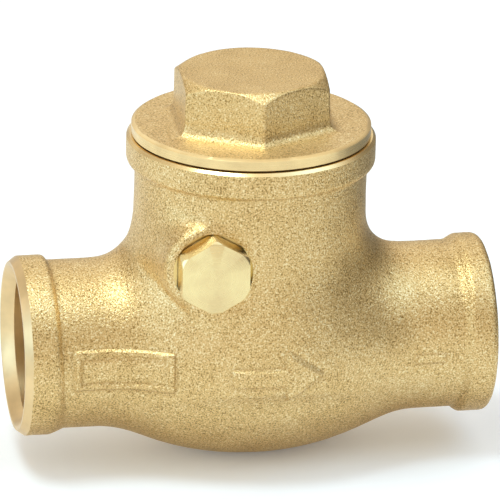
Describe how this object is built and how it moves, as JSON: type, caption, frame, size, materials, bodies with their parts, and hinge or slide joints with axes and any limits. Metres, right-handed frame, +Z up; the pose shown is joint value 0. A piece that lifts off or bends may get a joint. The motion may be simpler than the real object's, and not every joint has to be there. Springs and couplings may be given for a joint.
{
  "type": "swing check valve",
  "caption": "Horizontal swing check valve with solder cup ends, a screwed hexagon bonnet and a side plug for the hinge pin; the disc swings open with the flow and shuts against reverse flow.",
  "frame": {"origin": "centre of the inlet cup's tube stop, on the flow axis; the bonnet axis crosses the flow axis at x = 17.55 mm", "axes": "+X along the flow from inlet to outlet, +Z up along the bonnet, the hinge pin's plug at -Y"},
  "size_m": [0.0733, 0.0385, 0.0611],
  "materials": {
    "cast_brass": "cast and shot-blasted, satin, fine pebbled grain, turned where it seals",
    "turned_brass": "turned, bright satin with fine lathe marks",
    "stainless_steel": "ground satin",
    "nitrile_rubber": "moulded, matt black",
    "ptfe": "skived sheet, dull white"
  },
  "bodies": {
    "housing": {"valve_body": "cast_brass", "hinge_pin": "stainless_steel"},
    "hanger": {"disc_hanger": "cast_brass"},
    "disc": {"disc_holder": "turned_brass", "seat_disc": "nitrile_rubber", "seat_washer": "stainless_steel", "seat_nut": "turned_brass", "hanger_washer": "stainless_steel", "hanger_nut": "turned_brass"},
    "gasket": {"bonnet_gasket": "ptfe"},
    "bonnet": {"bonnet": "cast_brass"},
    "plug_seal": {"plug_washer": "ptfe"},
    "plug": {"hinge_plug": "turned_brass"}
  },
  "joints": [
    {"name": "flap_swing", "type": "hinge", "parent": "housing", "child": "hanger", "pos_m": [0.00885, 0, 0.0167], "axis": [0, -1, 0], "range_deg": [0, 60]},
    {"name": "disc_spin", "type": "hinge", "parent": "hanger", "child": "disc", "pos_m": [0.00895, 0, 0], "axis": [1, 0, 0], "continuous": true},
    {"name": "bonnet_lift", "type": "slide", "parent": "housing", "child": "gasket", "axis": [0, 0, 1], "range_m": [0, 0.0075]},
    {"name": "bonnet_turn", "type": "hinge", "parent": "gasket", "child": "bonnet", "pos_m": [0.01755, 0, 0.0325], "axis": [0, 0, 1], "range_deg": [0, 1800]},
    {"name": "plug_draw", "type": "slide", "parent": "housing", "child": "plug_seal", "axis": [0, -1, 0], "range_m": [0, 0.005]},
    {"name": "plug_turn", "type": "hinge", "parent": "plug_seal", "child": "plug", "pos_m": [0.00885, -0.0155, 0.0167], "axis": [0, -1, 0], "range_deg": [0, 1800]}
  ],
  "couplings": [
    {"joint": "bonnet_turn", "follows": "bonnet_lift", "rad_per_m": 4188.8},
    {"joint": "plug_turn", "follows": "plug_draw", "rad_per_m": 6283.2}
  ]
}
